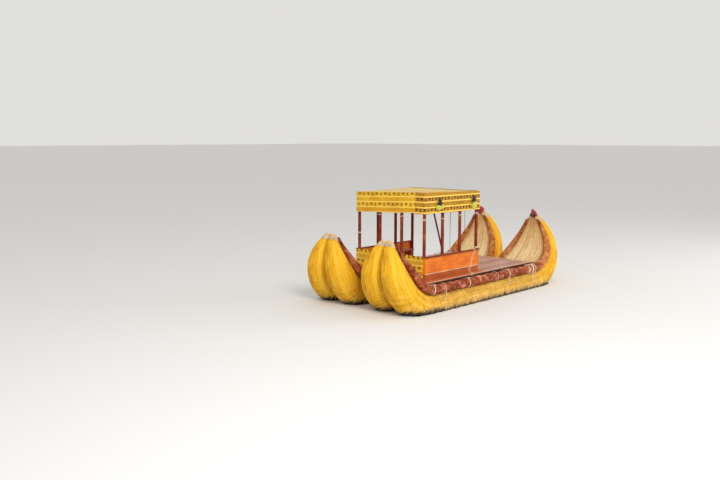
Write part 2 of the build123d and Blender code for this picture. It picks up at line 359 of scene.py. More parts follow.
def wound(name, points, rows, material):
    """A closed piece along the hull from its hoops of points."""
    share = np.linspace(0, 1, len(points[0]) + 1)
    return stand(name, skin(name, np.array(points), [along for _, _, along in rows], share, material))


bundle_reed = finish_material("golden bundle reed", reed_gold, depth=0.005, shine=0.25)
rng = np.random.default_rng(11)
bundle_around, bundle_sunk, bundle_ridge, bundle_swell = 224, 0.003, 0.0028, 0.0012
choke_depth, choke_from, choke_run = 0.011, 8.5, 1.5    # metres, and degrees short of the tip


def bundle(name, hull_side, lane):
    turn = np.linspace(0, 2 * math.pi, bundle_around, endpoint=False)
    waves = [(rng.uniform(0.5, 2.2), rng.integers(2, 9), rng.uniform(0, 6.28), rng.uniform(0.4, 1))
             for _ in range(14)]
    ridges = bundle_ridge * np.cos(turn * bundle_around / 2)
    rows, points = run_of_stations(64, 52), []
    for x, angle, along in rows:
        centre, out, _, r = bundle_centre(x, angle, hull_side, lane)
        swell = sum(size * np.sin(lobes * turn + pitch * along + phase)
                    for pitch, lobes, phase, size in waves)
        to_tip = (bow_tip[0] if angle > 0 else stern_tip[0]) - abs(angle)
        choke = choke_depth * min(max((choke_from - to_tip) / choke_run, 0), 1)
        points.append(hoop(centre, r - bundle_sunk + swell * bundle_swell + ridges - choke, turn, out))
    return wound(name, points, rows, bundle_reed)


for side_name, hull_side in sides:
    for lane_name, lane in lanes:
        piece = bundle(f"reed_{lane_name}_{side_name}", hull_side, lane)
        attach(piece, "root")
        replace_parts(piece, f"{lane_name}_bundle_{side_name}")


# Gunwale rolls. Thinner bundles stained red-brown, lashed on the shoulder of each bundle from tip to
# tip. The outer pair shows along the deck's sides, the inner pair runs below the deck.

def roll_stain(tree):
    cells = use(tree, reed_weave, Reeds=40, Thread_Pitch=0.13, Raggedness=0.6)
    _, u, v, _ = place(tree, "UV")
    where, x, y, z = place(tree)
    # Bands across the roll stand for its wrinkles, which the mesh doesn't have: the darker ones are painted
    # shade in the creases.
    wrinkle = noise((u * 9.0, v * 3.0, y), 1.0, 5.0, 0.65)
    worn = wrinkle * 0.32 + (cells["Streak"] * 0.35 + noise(where, 7.0, 6.0, 0.7) * 0.40)
    stained = ramp(worn, (0.42, (0.050, 0.006, 0.002)), (0.49, (0.20, 0.026, 0.006)),
                   (0.56, (0.39, 0.070, 0.014)), (0.64, (0.62, 0.23, 0.09)))
    # Up the bow, below the tip, the roll is lighter and more orange.
    lighter_bow_colour = ramp(worn, (0.42, (0.20, 0.040, 0.006)), (0.49, (0.52, 0.15, 0.020)),
                 (0.56, (0.72, 0.27, 0.050)), (0.64, (0.86, 0.47, 0.16)))
    up_the_bow, below_the_tip = span(x, 2.30, 2.90), span(z, 2.45, 1.75)
    colour = blend(up_the_bow * (below_the_tip * 0.85), stained, lighter_bow_colour)
    # Pale pinkish patches, spread by noise: painted highlights of the roll's gloss.
    painted_highlight = span(noise(where, 3.4, 5.0, 0.65), 0.50, 0.62)
    pinkish = ramp(worn, (0.42, (0.26, 0.06, 0.03)), (0.53, (0.66, 0.24, 0.14)), (0.64, (0.90, 0.52, 0.34)))
    colour = blend(painted_highlight * 0.6, colour, pinkish)
    colour = blend(cells["Thread"] * 0.4, colour, (0.16, 0.05, 0.02))
    scuffed = span(noise(where, 12.0, 4.0, 0.6), 0.58, 0.70)
    return {"colour": blend(scuffed * 0.4, colour, (0.74, 0.40, 0.24)), "height": cells["Height"]}


stained_reed = finish_material("stained roll reed", roll_stain, rough=0.62, depth=0.005, shine=0.2)


def roll_centre(angle, hull_side, lane):
    """How far a roll's centre lies to the side and out from its bundle's centreline, and its radius."""
    r, rr = row_value(angle, bundle_radius), row_value(angle, roll_radius)
    lean = math.radians(row_value(angle, outer_lean if lane > 0 else inner_lean))
    reach = r + rr + seat_gap(angle)
    return hull_side * (hull_y + lane * (r + reach * math.sin(lean))), reach * math.cos(lean), rr


roll_around, roll_sunk, roll_ridge, roll_swell = 72, 0.004, 0.0022, 0.0016


def gunwale_roll(name, hull_side, lane):
    turn = np.linspace(0, 2 * math.pi, roll_around, endpoint=False)
    phase = rng.uniform(0, 6.28, 6)
    ridges = roll_ridge * np.cos(turn * roll_around / 2)
    rows, points = run_of_stations(90, 40), []
    for x, angle, along in rows:
        base, out, _ = station(x, angle)
        y, up, rr = roll_centre(angle, hull_side, lane)
        swell = sum(roll_swell * np.sin((k + 2) * turn + (1.1 + k) * along + phase[k]) for k in range(6))
        radius = rr * (1 + 0.016 * math.sin(2.7 * along + phase[0])) - roll_sunk + swell + ridges
        points.append(hoop(base + y * sideways + out * up, radius, turn, out))
    return wound(name, points, rows, stained_reed)


for side_name, hull_side in sides:
    for lane_name, lane in lanes:
        piece = gunwale_roll(f"gunwale_{lane_name}_{side_name}", hull_side, lane)
        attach(piece, "root")
        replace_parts(piece, f"{lane_name}_roll_{side_name}")


# Curl linings. A facing of pale straw fills the inside of each curl between its two rolls and is
# hollowed like a trough. The straw runs up the curl.

def straw(tree):
    cells = use(tree, reed_weave, Reeds=64, Thread_Pitch=0.24, Raggedness=0.2)
    _, u, v, _ = place(tree, "UV")
    where, _, y, z = place(tree)
    sheaf = noise((u * 1.1, v * 13.0, y), 1.0, 4.0, 0.6)
    mixed = cells["Streak"] * 0.4 + (cells["Tone"] * 0.22 + noise(where, 2.5, 4.0) * 0.12) + sheaf * 0.42
    low = ramp(mixed, (0.38, (0.48, 0.22, 0.06)), (0.52, (0.90, 0.58, 0.24)), (0.66, (0.99, 0.80, 0.46)))
    high = ramp(mixed, (0.38, (0.36, 0.12, 0.025)), (0.52, (0.78, 0.38, 0.11)), (0.66, (0.95, 0.62, 0.26)))
    colour = blend(span(z, 1.15, 2.25), low, high)
    side = abs(v - 0.5) * 2.0
    by_the_roll = span(sheaf * 0.2 + (side - 0.1), 0.80, 0.97)
    colour = blend(by_the_roll * 0.7, colour, (0.62, 0.26, 0.07))
    dark_reed = (cells["Tone"] < 0.10) * (cells["Streak"] > 0.45)
    return {"colour": blend(dark_reed * 0.55, colour, (0.30, 0.13, 0.04)), "height": cells["Height"]}


pale_straw = finish_material("pale straw facing", straw, rough=0.7, depth=0.005, shine=0.2)


ends = (("bow", 1), ("stern", -1))
lining_start, roll_clearance, lining_least = 30, 0.012, 0.05    # degrees up the curl, metres, metres
trough_floor, trough_rise, trough_edge = 0.07, 0.09, 0.16    # shares of the bundle's radius


def lining(name, hull_side, end):
    angles = np.linspace(lining_start, bow_tip[0] if end > 0 else stern_tip[0], 44)
    across = np.linspace(-1, 1, 49)
    points = np.zeros((len(angles), 2 * len(across), 3))
    for i, angle in enumerate(angles):
        base, out, _ = station(end * straight_half, end * angle)
        r = row_value(end * angle, bundle_radius)
        low = r + (0.0006 if i == 0 else 0.009)
        edge = low + trough_edge * r
        reach = {}
        for lane in (1, -1):
            y, up, rr = roll_centre(end * angle, 1, lane)
            reach[lane] = abs(y - hull_y) - math.sqrt(max(rr ** 2 - (edge - up) ** 2, 0)) - roll_clearance
        top, bottom = [], []
        for t in across:
            w = t * reach[1 if t > 0 else -1]
            n = low + trough_floor * r + trough_rise * r * t * t
            top.append((w, n))
            drop = math.sqrt(max(r * r - max(abs(w) - r, 0) ** 2, 0)) + (low - r)
            bottom.append((w, max(drop, n - lining_least) if abs(w) > r else low))
        for j, (w, n) in enumerate(top + bottom[::-1]):
            points[i, j] = base + out * n + hull_side * (hull_y + w) * sideways
    u = [curl_radius * math.radians(a) for a in angles]
    v = [*np.linspace(0, 1, len(across)), *np.linspace(1, 0, len(across)), 0]
    return stand(name, skin(name, points, u, v, pale_straw))


for side_name, hull_side in sides:
    for end_name, end in ends:
        piece = lining(f"facing_{end_name}_{side_name}", hull_side, end)
        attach(piece, "root")
        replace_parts(piece, f"{end_name}_lining_{side_name}")


# Tip bindings. Seven turns of cream rope choke the end of each bundle, and the cut reed ends stand out
# of it in a pale dome.

def start_growth(name, **inputs):
    """Starts a geometry group that takes a guide mesh and a material besides its other inputs."""
    return start_group(name, "GeometryNodeTree", Geometry=None, **inputs, Material=None)


def step(group, kind, **values):
    """Adds a node to a geometry group. Lower-case values are its settings and come before its inputs."""
    family = "Function" if kind in ("RandomValue", "RotateRotation", "AlignRotationToVector") else "Geometry"
    node = group.nodes.new(family + "Node" + kind)
    for name, value in values.items():
        if name[0].islower():
            setattr(node, name, value)
        else:
            feed(next(i for i in node.inputs if i.name == name.replace("_", " ") and i.enabled), value)
    return node


def keep(group, last, given):
    """Ends a geometry group: realizes the instances, sets the material and gives the mesh out."""
    last = step(group, "RealizeInstances", Geometry=last)
    last = step(group, "SetShadeSmooth", Geometry=last)
    last = step(group, "SetMaterial", Geometry=last, Material=given["Material"])
    end_group(group, Geometry=last)


def grow(name, mesh, group, **inputs):
    """Runs a geometry group once on a guide mesh and leaves a plain mesh piece."""
    piece = stand(name, mesh)
    modifier = piece.modifiers.new(group.name, "NODES")
    modifier.node_group = group
    for socket in group.interface.items_tree:
        label = socket.name.replace(" ", "_")
        if socket.in_out == "INPUT" and label in inputs:
            modifier[socket.identifier] = inputs[label]
    shaped = piece.evaluated_get(bpy.context.evaluated_depsgraph_get())
    plain = bpy.data.meshes.new_from_object(shaped)
    piece.modifiers.clear()
    piece.data = plain
    return piece


laid_rope, given = start_growth("laid rope", Thickness=0.012, Sides=8)
on_line = step(laid_rope, "SplineParameter").outputs
line = step(laid_rope, "MeshToCurve", Mesh=given["Geometry"])
line = step(laid_rope, "StoreNamedAttribute", Geometry=line, Name="along", Value=on_line["Length"])
ring = step(laid_rope, "CurvePrimitiveCircle", Resolution=given["Sides"], Radius=given["Thickness"] * 0.5)
ring = step(laid_rope, "StoreNamedAttribute", Geometry=ring, Name="around", Value=on_line["Factor"])
keep(laid_rope, step(laid_rope, "CurveToMesh", Curve=line, Profile_Curve=ring, Fill_Caps=True), given)

stubs, given = start_growth("stubs", Density=900.0, Length=0.05, Thickness=0.012, Splay=0.3, Seed=1,
                            Keep_Base=True)
spots = step(stubs, "DistributePointsOnFaces", Mesh=given["Geometry"], Density=given["Density"],
             Seed=given["Seed"])
stub = step(stubs, "MeshCone", Vertices=5, Depth=given["Length"], Radius_Top=given["Thickness"] * 0.3,
            Radius_Bottom=given["Thickness"] * 0.5)
back = given["Splay"] * -1.0
lean = step(stubs, "RandomValue", data_type="FLOAT_VECTOR", Seed=given["Seed"],
            Min=vector(back, back, -3.0), Max=vector(given["Splay"], given["Splay"], 3.0))
turned = step(stubs, "RotateRotation", rotation_space="LOCAL", Rotation=spots.outputs["Rotation"],
              Rotate_By=lean)
size = step(stubs, "RandomValue", data_type="FLOAT_VECTOR", Min=(0.75, 0.75, 0.6), Max=(1.2, 1.2, 1.2),
            Seed=given["Seed"] + 7.0)
set_out = step(stubs, "InstanceOnPoints", Points=spots, Instance=stub, Rotation=turned, Scale=size)
tone = step(stubs, "RandomValue", Seed=given["Seed"])
set_out = step(stubs, "StoreNamedAttribute", domain="INSTANCE", Geometry=set_out, Name="tone", Value=tone)
both = step(stubs, "JoinGeometry", Geometry=set_out)
feed(both.inputs[0], given["Geometry"])
keep(stubs, step(stubs, "Switch", input_type="GEOMETRY", Switch=given["Keep Base"],
                 **{"False": set_out, "True": both}), given)


def mark(tree, name):
    """A number that the mesh carries."""
    return Value(shader(tree, "Attribute", attribute_name=name).outputs["Fac"])


def rope_fibre(tree):
    lay = maths("FRACT", mark(tree, "around") * 3.0 + mark(tree, "along") * 30.0)
    valley = maths("POWER", abs(lay - 0.5) * 2.0, 3.0)
    # The colour is darker in the grooves between the strands: painted shade.
    mixed = valley * -0.45 + (noise(place(tree)[0], 9.0, 4.0) + 0.15)
    colour = ramp(mixed, (0.1, (0.32, 0.20, 0.10)), (0.45, (0.74, 0.57, 0.36)), (0.75, (0.92, 0.80, 0.60)))
    return {"colour": colour, "height": 1.0 - valley}


cream_rope = finish_material("cream rope", rope_fibre, rough=0.85, depth=0.002)


def stub_colour(dark, mid, light):
    def colour(tree):
        mixed = mark(tree, "tone") * 0.55 + noise(place(tree)[0], 30.0, 3.0) * 0.5
        return ramp(mixed, (0.15, dark), (0.45, mid), (0.85, light))
    return colour


cut_reed = finish_material("cut reed ends", stub_colour(
    (0.55, 0.33, 0.13), (0.82, 0.60, 0.34), (0.96, 0.84, 0.60)), rough=0.75)


def guide(paths):
    """A mesh of plain edges along each path of points."""
    verts, edges = [], []
    for path in paths:
        edges += [(len(verts) + i, len(verts) + i + 1) for i in range(len(path) - 1)]
        verts += [tuple(float(c) for c in p) for p in path]
    mesh = bpy.data.meshes.new("guide")
    mesh.from_pydata(verts, edges, [])
    return mesh


def rope(name, paths, thickness, sides=8, material=cream_rope):
    piece = grow(name, guide(paths), laid_rope, Thickness=thickness, Sides=sides, Material=material)
    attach(piece, "root")
    return piece


def spoke(a, out):
    return math.cos(a) * out + math.sin(a) * sideways


rope_turns, points_a_turn, dome_sides, dome_top = 7, 22, 20, 0.049
dome_rings = (    # in from the bundle's skin, share of that radius, rise over the tip
    (0.012, 1.0, -0.004), (0.014, 1.0, 0.018), (0.012, 0.8, 0.036), (0.012, 0.45, 0.046),
)
binding_start, binding_run, binding_sunk = 6.0, 5.3, 0.0055    # degrees short of the tip, degrees, metres
for end_name, end in ends:
    tip = (bow_tip if end > 0 else stern_tip)[0]
    for side_name, hull_side in sides:
        turns, dome, faces = [], [], []
        for lane in (1, -1):
            path = []
            for t in np.linspace(0, 1, rope_turns * points_a_turn + 1):
                angle = end * (tip - binding_start + binding_run * t)
                centre, out, _, r = bundle_centre(end * straight_half, angle, hull_side, lane)
                path.append(centre + (r - binding_sunk) * spoke(2 * math.pi * rope_turns * t, out))
            turns.append(path)
            centre, out, along, r = bundle_centre(end * straight_half, end * tip, hull_side, lane)
            first = len(dome)
            for inset, share, rise in dome_rings:
                dome += [centre + along * end * rise + (r - inset) * share * spoke(a, out)
                         for a in np.linspace(0, 2 * math.pi, dome_sides, endpoint=False)]
            dome.append(centre + along * end * dome_top)
            for k in range(len(dome_rings)):
                for j in range(dome_sides):
                    a, b = first + k * dome_sides + j, first + k * dome_sides + (j + 1) % dome_sides
                    c, d = a + dome_sides, b + dome_sides
                    if k < len(dome_rings) - 1:
                        faces.append((a, b, d, c) if end > 0 else (a, c, d, b))
                    else:
                        faces.append((a, b, len(dome) - 1) if end > 0 else (b, a, len(dome) - 1))
        mesh = bpy.data.meshes.new("reed ends")
        mesh.from_pydata([tuple(p) for p in dome], [], faces)
        cut_ends = grow(f"reed_ends_{end_name}_{side_name}", mesh, stubs, Density=3200.0, Length=0.034,
                        Thickness=0.013, Splay=0.22, Seed=3 + end + hull_side, Keep_Base=True,
                        Material=cut_reed)
        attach(cut_ends, "root")
        rope(f"tip_binding_{end_name}_{side_name}", turns, 0.013)


# Bow heads. Each pair of bow tips carries a small head of dyed wool: to starboard a pink-red crest that
# leans back over dark tufts, to port a round red head with a straw-coloured tuft.

def lump(rings, seed, around=28):
    """A soft closed body through rings of (x, y, z, half width, half depth) from its foot to its top."""
    turn = np.linspace(0, 2 * math.pi, around, endpoint=False)
    phase = np.random.default_rng(seed).uniform(0, 6.28, (4,))
    at = np.array([ring[:3] for ring in rings], dtype=float)
    points = np.zeros((len(rings), around, 3))
    for i, (_, _, _, wide, deep) in enumerate(rings):
        ahead = at[min(i + 1, len(at) - 1)] - at[max(i - 1, 0)]
        ahead /= np.linalg.norm(ahead)
        over = np.cross(ahead, sideways)
        over /= np.linalg.norm(over)
        uneven = 1 + 0.05 * np.sin(3 * turn + phase[0] + i) + 0.04 * np.sin(5 * turn + phase[1] - i)
        points[i] = (at[i] + (wide * np.cos(turn) * uneven)[:, None] * sideways
                     + (deep * np.sin(turn) * uneven)[:, None] * over)
    return points


def wool(name, dark, mid, light):
    return finish_material(name, stub_colour(dark, mid, light), rough=0.9, sheen=0.4)


red_wool = wool("red wool", (0.28, 0.008, 0.012), (0.60, 0.030, 0.035), (0.85, 0.16, 0.12))
dark_wool = wool("dark wool", (0.012, 0.008, 0.008), (0.03, 0.02, 0.02), (0.10, 0.06, 0.05))
straw_wool = wool("straw wool", (0.50, 0.30, 0.12), (0.80, 0.58, 0.32), (0.95, 0.80, 0.55))


def pile(name, points, material, strands, seed):
    """A body covered with strands, given as how many to a square metre, their length, thickness and splay."""
    density, length, thickness, splay = strands
    body = skin(name, points, np.arange(len(points)), np.linspace(0, 1, points.shape[1] + 1), material)
    piece = grow(name, body, stubs, Density=density, Length=length, Thickness=thickness, Splay=splay,
                 Seed=seed, Keep_Base=True, Material=material)
    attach(piece, "root")
    return piece


tip_x, _, tip_z = station(straight_half, bow_tip[0])[0]


def on_tip(y, *rings):
    """Rings that are given by their place from the bow tip in x and z, and their half width and depth."""
    return [(tip_x + dx, y, tip_z + dz, wide, deep) for dx, dz, wide, deep in rings]


crest_rings = on_tip(-hull_y, (0.004, 0.030, 0.070, 0.062), (-0.010, 0.075, 0.080, 0.070),
                     (-0.030, 0.115, 0.074, 0.062), (-0.055, 0.155, 0.055, 0.045),
                     (-0.085, 0.200, 0.034, 0.028), (-0.115, 0.240, 0.014, 0.012))
crest = pile("crest_stbd", lump(crest_rings, 1), red_wool, (9000.0, 0.028, 0.009, 0.45), 2)
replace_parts(crest, "bow_head_stbd")
head_rings = on_tip(hull_y, (0.004, 0.030, 0.060, 0.055), (-0.015, 0.060, 0.090, 0.085),
                    (-0.030, 0.100, 0.104, 0.098), (-0.040, 0.145, 0.098, 0.092),
                    (-0.050, 0.185, 0.070, 0.066), (-0.055, 0.210, 0.030, 0.028))
round_head = pile("round_head_port", lump(head_rings, 4), red_wool, (9000.0, 0.020, 0.009, 0.5), 3)
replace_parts(round_head, "bow_head_port")
tufts = (    # x from the bow tip, y, z from the bow tip, wool, half width
    (-0.115, -hull_y - 0.055, 0.070, dark_wool, 0.034), (-0.115, -hull_y + 0.055, 0.070, dark_wool, 0.034),
    (-0.150, -hull_y, 0.045, dark_wool, 0.030), (-0.150, hull_y + 0.045, 0.110, dark_wool, 0.022),
    (-0.150, hull_y - 0.045, 0.110, dark_wool, 0.022), (-0.09, hull_y + 0.135, 0.105, straw_wool, 0.042),
)
for k, (dx, y, dz, material, wide) in enumerate(tufts):
    rings = []
    for t in np.linspace(0, 1, 6):
        belly = wide * math.sin(math.pi * (t * 0.8 + 0.12))
        rings.append((tip_x + dx + 0.05 * t, y, tip_z + dz + 0.02 * t, belly, belly))
    pile(f"head_tuft_{k + 1}", lump(rings, 9 + k, 16), material, (9000.0, 0.022, 0.007, 0.6), 11 + k)


# Roll lashings. Cream rope is wound round each outer roll where it is tied down to the hull, with a
# knot on top and a tail on two of them. Two of the ropes go right round the hull, and two short ones
# tie the deck's edge to the roll.

def ease_path(points, count):
    """A smooth run of count points through the given ones."""
    p = np.array(points, dtype=float)
    p = np.vstack([2 * p[0] - p[1], p, 2 * p[-1] - p[-2]])
    out = []
    for s in np.linspace(1, len(p) - 2 - 1e-6, count):
        i = int(s)
        t = s - i
        a, b, c, d = p[i - 1:i + 3]
        out.append(0.5 * (2 * b + (c - a) * t + (2 * a - 5 * b + 4 * c - d) * t * t
                          + (3 * b - a - 3 * c + d) * t ** 3))
    return out


def round_roll(x, hull_side, start, sweep, reach=0.0045, slip=0.0):
    """Points round an outer roll; start and sweep are degrees from its top, turning outboard."""
    past_bend = max(abs(x) - straight_half, 0)
    curl = math.copysign(math.degrees(math.asin(past_bend / curl_radius)), x)
    base, away, _ = station(x - math.copysign(past_bend, x), curl)
    y, up, rr = roll_centre(curl, hull_side, 1)
    angles = np.radians(start + sweep * np.linspace(0, 1, max(int(abs(sweep) / 9), 4)))
    return [tuple(base + (slip * i / len(angles), y + hull_side * (rr + reach) * math.sin(a), 0)
                  + away * (up + (rr + reach) * math.cos(a))) for i, a in enumerate(angles)]


def knot(centre, size, tilt=0.0):
    """A tied knot as one closed line."""
    path = []
    for t in np.linspace(0, 2 * math.pi, 49):
        a, b, c = math.sin(t) + 2 * math.sin(2 * t), math.cos(t) - 2 * math.cos(2 * t), -math.sin(3 * t)
        b, c = b * math.cos(tilt) - c * math.sin(tilt), b * math.sin(tilt) + c * math.cos(tilt)
        path.append((centre[0] + size * a / 3, centre[1] + size * b / 3, centre[2] + size * c / 3))
    return path


def hull_side_line(x, hull_side, start, stop, reach=0.006, drift=0.0):
    """Points down the outer bundle's outside; start and stop are degrees from its top."""
    y, r = hull_y + keel_r + seat_gap(0) / 2, keel_r + reach
    return [(x + drift * i / 24, hull_side * (y + r * math.sin(a)), keel_r + r * math.cos(a))
            for i, a in enumerate(np.radians(np.linspace(start, stop, 24)))]


lashings = (    # x, turns side by side, a knot, a tail's length, a rope round the hull
    (-2.590, 3, True, 0.0, False),
    (-2.045, 1, False, 0.0, True),
    (-1.020, 2, True, 0.0, False),
    (0.300, 1, False, 0.0, False),
    (0.870, 2, True, 0.04, False),
    (1.905, 3, True, 0.0, False),
    (2.090, 5, True, 0.26, False),
    (2.235, 2, False, 0.0, True),
)
deck_side, deck_ties = 1.5225, (0.850, 2.040)
over_edge = ((-0.012, -0.030, 1.026), (-0.004, -0.004, 1.027), (0.0, 0.008, 1.010), (0.014, 0.008, 0.972))
for side_name, hull_side in sides:
    lines = []
    for x in deck_ties:
        from_deck = [(x + dx, hull_side * (deck_side + dy), z) for dx, dy, z in over_edge]
        lines.append(ease_path(from_deck + round_roll(x + 0.05, hull_side, -58, 78, 0.008)[1::2], 40))
        lines.append(knot((x - 0.004, hull_side * (deck_side - 0.006), 1.036), 0.024, hull_side * 0.3))
    for x, count, knotted, tail, girth in lashings:
        for k in range(count):
            lines.append(round_roll(x + 0.015 * k, hull_side, 0, 360, slip=0.004))
        if knotted:
            on_top = round_roll(x + 0.0075 * count, hull_side, 24, 1, 0.020)[0]
            lines.append(knot(on_top, 0.030, hull_side * 0.4))
        if tail:
            start = round_roll(x, hull_side, 30, 75, 0.008)
            start = start[::2] + [start[-1]]
            down = hull_side_line(x + 0.01, hull_side, 62, 62 + tail * 130, 0.008, 0.03)
            lines.append(ease_path(start + down[4::3], 40))
            lines.append(ease_path([(px + 0.02 + 0.012 * math.sin(6 * i), py, pz)
                                    for i, (px, py, pz) in enumerate(start + down[4:16:3])], 34))
        if girth:
            outer = hull_side_line(x, hull_side, 56, 180)
            inner = [(px, 2 * hull_side * hull_y - py, pz)
                     for px, py, pz in hull_side_line(x, hull_side, 50, 180)]
            lines.append(ease_path(round_roll(x, hull_side, 40, 74, 0.006)[::2], 14) + outer[2:])
            lines.append([outer[-1]] + inner[::-1])
    rope(f"roll_lashings_{side_name}", lines, 0.012)


# Deck. Red-brown painted planks in two lengths, nailed to five rough beams that lie across all four
# bundles, with an edge board round them. The edge board's pale top is a painted highlight of its lit
# edge, and its dark side, near-black at the foot, is painted shadow of the gap under the deck.

first_plank = -1.4905
paint_wear, given = start_group("paint wear", Board_Width=0.187)
where, x, y, z = place(paint_wear)
board = maths("FLOOR", (y - first_plank) / given["Board Width"])
grain = noise((x * 1.6, y * 22.0, z * 22.0), 3.0, 5.0, 0.6)
end_group(paint_wear, Tone=toss(board), Wear=grain * 0.45 + noise(where, 3.2, 6.0, 0.65) * 0.55, Height=grain)


def plank_paint(tree):
    worn = use(tree, paint_wear, Board_Width=0.1868)
    _, x, _, _ = place(tree)
    mixed = worn["Tone"] * 0.28 + worn["Wear"] * 0.8
    brick = ramp(mixed, (0.25, (0.24, 0.038, 0.008)), (0.55, (0.52, 0.115, 0.02)), (0.8, (0.74, 0.28, 0.08)))
    # On the foredeck the planks are a pale plum: a painted reflection of the sky on their gloss.
    plum_sky_sheen = ramp(mixed, (0.25, (0.26, 0.10, 0.075)), (0.55, (0.46, 0.22, 0.165)), (0.8, (0.62, 0.38, 0.29)))
    on_foredeck = span(x, 0.05, 0.20)
    return {"colour": blend(on_foredeck, brick, plum_sky_sheen), "height": worn["Height"],
            "rough": worn["Wear"] * 0.45 + 0.22}


def edge_paint(tree):
    worn = use(tree, paint_wear)
    z = place(tree)[3]
    painted = ramp(worn["Wear"], (0.3, (0.16, 0.035, 0.016)), (0.7, (0.40, 0.13, 0.06)))
    # The top is pale, varied by the wear: a painted highlight along the lit edge.
    pale = ramp(worn["Wear"], (0.3, (0.62, 0.36, 0.22)), (0.7, (0.86, 0.66, 0.48)))
    # The side's red-brown paint is dark, and near-black towards the foot: painted shadow of the gap under the
    # deck.
    side = blend(span(z, 0.975, 1.000), (0.025, 0.010, 0.007), painted)
    return {"colour": blend(span(z, 1.004, 1.014), side, pale), "height": worn["Height"]}


def rough_timber(tree):
    worn = use(tree, paint_wear)
    return {"colour": ramp(worn["Wear"], (0.3, (0.10, 0.055, 0.03)), (0.5, (0.25, 0.15, 0.08)),
                           (0.75, (0.42, 0.29, 0.17))), "height": worn["Height"]}


def dress(material, *nodes):
    """Gives the source's own pieces their finish."""
    for node in nodes:
        cad[node].data.materials.clear()
        cad[node].data.materials.append(material)


deck_paint = finish_material("deck paint", plank_paint, depth=0.0015, coat=0.08)
edge_board_paint = finish_material("edge board paint", edge_paint, rough=0.5, depth=0.001)
raw_timber = finish_material("raw timber", rough_timber, rough=0.8, depth=0.002)
dress(deck_paint, "cabin_planks", "foredeck_planks")
dress(edge_board_paint, "deck_edge_port", "deck_edge_stbd", "deck_edge_aft", "deck_edge_fwd")
dress(raw_timber, "cross_beams")


# Cabin frame. Round poles painted red-brown stand on the deck and carry the plate; rafters and fascia
# boards are nailed on it. Two loose poles, one stained and one white, lean in the entrance.

def post_colour(tree):
    where, x, y, z = place(tree)
    grain = noise((x * 16.0, y * 16.0, z), 3.0, 5.0)
    mixed = grain * 0.5 + noise(where, 4.0, 4.0, 0.6) * 0.5
    return {"colour": ramp(mixed, (0.3, (0.085, 0.008, 0.003)), (0.5, (0.21, 0.026, 0.007)),
                           (0.72, (0.44, 0.10, 0.03))), "height": grain}


def worn_paint(*stops):
    """A colour that follows the wear alone."""
    return lambda tree: ramp(use(tree, paint_wear)["Wear"], *stops)


post_paint = finish_material("post paint", post_colour, rough=0.6, depth=0.003, shine=0.2)
white_paint = finish_material("white paint", worn_paint(
    (0.35, (0.50, 0.40, 0.31)), (0.5, (0.78, 0.71, 0.62)), (0.65, (0.86, 0.81, 0.74))), rough=0.5)
dress(post_paint, "corner_posts", "aft_posts", "side_posts_port", "side_posts_stbd", "leaning_pole",
      "roof_plates", "wall_cap_port", "wall_cap_stbd")
dress(raw_timber, "rafters", "fascia_boards")
dress(white_paint, "pale_pole")


# Low walls and benches. Side walls are orange boards nailed outside the posts over a brown foot board,
# benches inside are painted like the deck.

batten_z = 1.163


def orange_over_brown(tree):
    where, x, y, z = place(tree)
    grain = noise((x, y * 2.0, z * 16.0), 3.5, 5.0)
    orange = ramp(grain * 0.6 + noise(where, 3.0, 5.0) * 0.4, (0.28, (0.48, 0.075, 0.002)),
                  (0.5, (0.76, 0.175, 0.005)), (0.75, (0.90, 0.30, 0.02)))
    # Below the batten the foot board takes the deck planks' colour, with their painted sky reflection at its
    # forward end.
    return {"colour": blend(z > batten_z, plank_paint(tree)["colour"], orange), "height": grain}


orange_paint = finish_material("orange wall paint", orange_over_brown, rough=0.5, depth=0.0012, shine=0.3)
dress(orange_paint, "side_wall_port", "side_wall_stbd", "aft_wall")
dress(deck_paint, "bench_port", "bench_stbd", "bench_aft")


# Nails and battens. Two iron nails hold each plank to each beam and each wall board to each post, and a
# pale worn batten covers the joint between the wall's brown foot board and its orange boards.

nail_rows, given = start_growth("nails in place", Radius=0.006)
head = step(nail_rows, "MeshUVSphere", Segments=8, Rings=5, Radius=given["Radius"])
flat = step(nail_rows, "Transform", Geometry=head, Scale=(1.0, 1.0, 0.45))
turned = step(nail_rows, "InputNamedAttribute", data_type="FLOAT_VECTOR", Name="facing")
turned = step(nail_rows, "AlignRotationToVector", axis="Z", Vector=turned)
keep(nail_rows, step(nail_rows, "InstanceOnPoints", Points=given["Geometry"], Instance=flat,
                     Rotation=turned), given)

deck_z, wall_y, board_height, wall_boards = 1.015, 1.195, 0.145, 4
plank_rows, plank_pitch, plank_gap, loosely = 16, 0.18662, 0.005, 0.006
cabin_x = -1.055
beam_xs = (-2.295, cabin_x, 0.170, 1.1575, 2.145)
butt_beam = 2    # the beam on which the two lengths of plank meet, with a row of nails for each
by_joint, by_middle, by_board_middle, wall_nail_out = 0.022, 0.055, 0.04, 0.0228
spots, facings = [], []
for i in range(plank_rows):
    middle = first_plank + (i + 0.5) * plank_pitch - plank_gap / 2
    for beam, x in enumerate(beam_xs):
        for along in ((-by_joint, by_joint) if beam == butt_beam else (0.0,)):
            for across in (-by_middle, by_middle):
                astray = rng.uniform(-loosely, loosely), rng.uniform(-loosely, loosely)
                spots.append((x + along + astray[0], middle + across + astray[1], deck_z + 0.0005))
                facings.append((0, 0, 1))
for hull_side in (1, -1):
    for board in range(wall_boards):
        z = deck_z + board_height * (board + 0.5)
        for x in (-1.138, -0.379, 0.379, 1.130):
            for up in (-by_board_middle, by_board_middle):
                spots.append((cabin_x + x, hull_side * (wall_y + wall_nail_out), z + up))
                facings.append((0, hull_side, 0))
mesh = bpy.data.meshes.new("nail places")
mesh.from_pydata(spots, [], [])
facing = mesh.attributes.new("facing", "FLOAT_VECTOR", "POINT")
facing.data.foreach_set("vector", [c for f in facings for c in f])
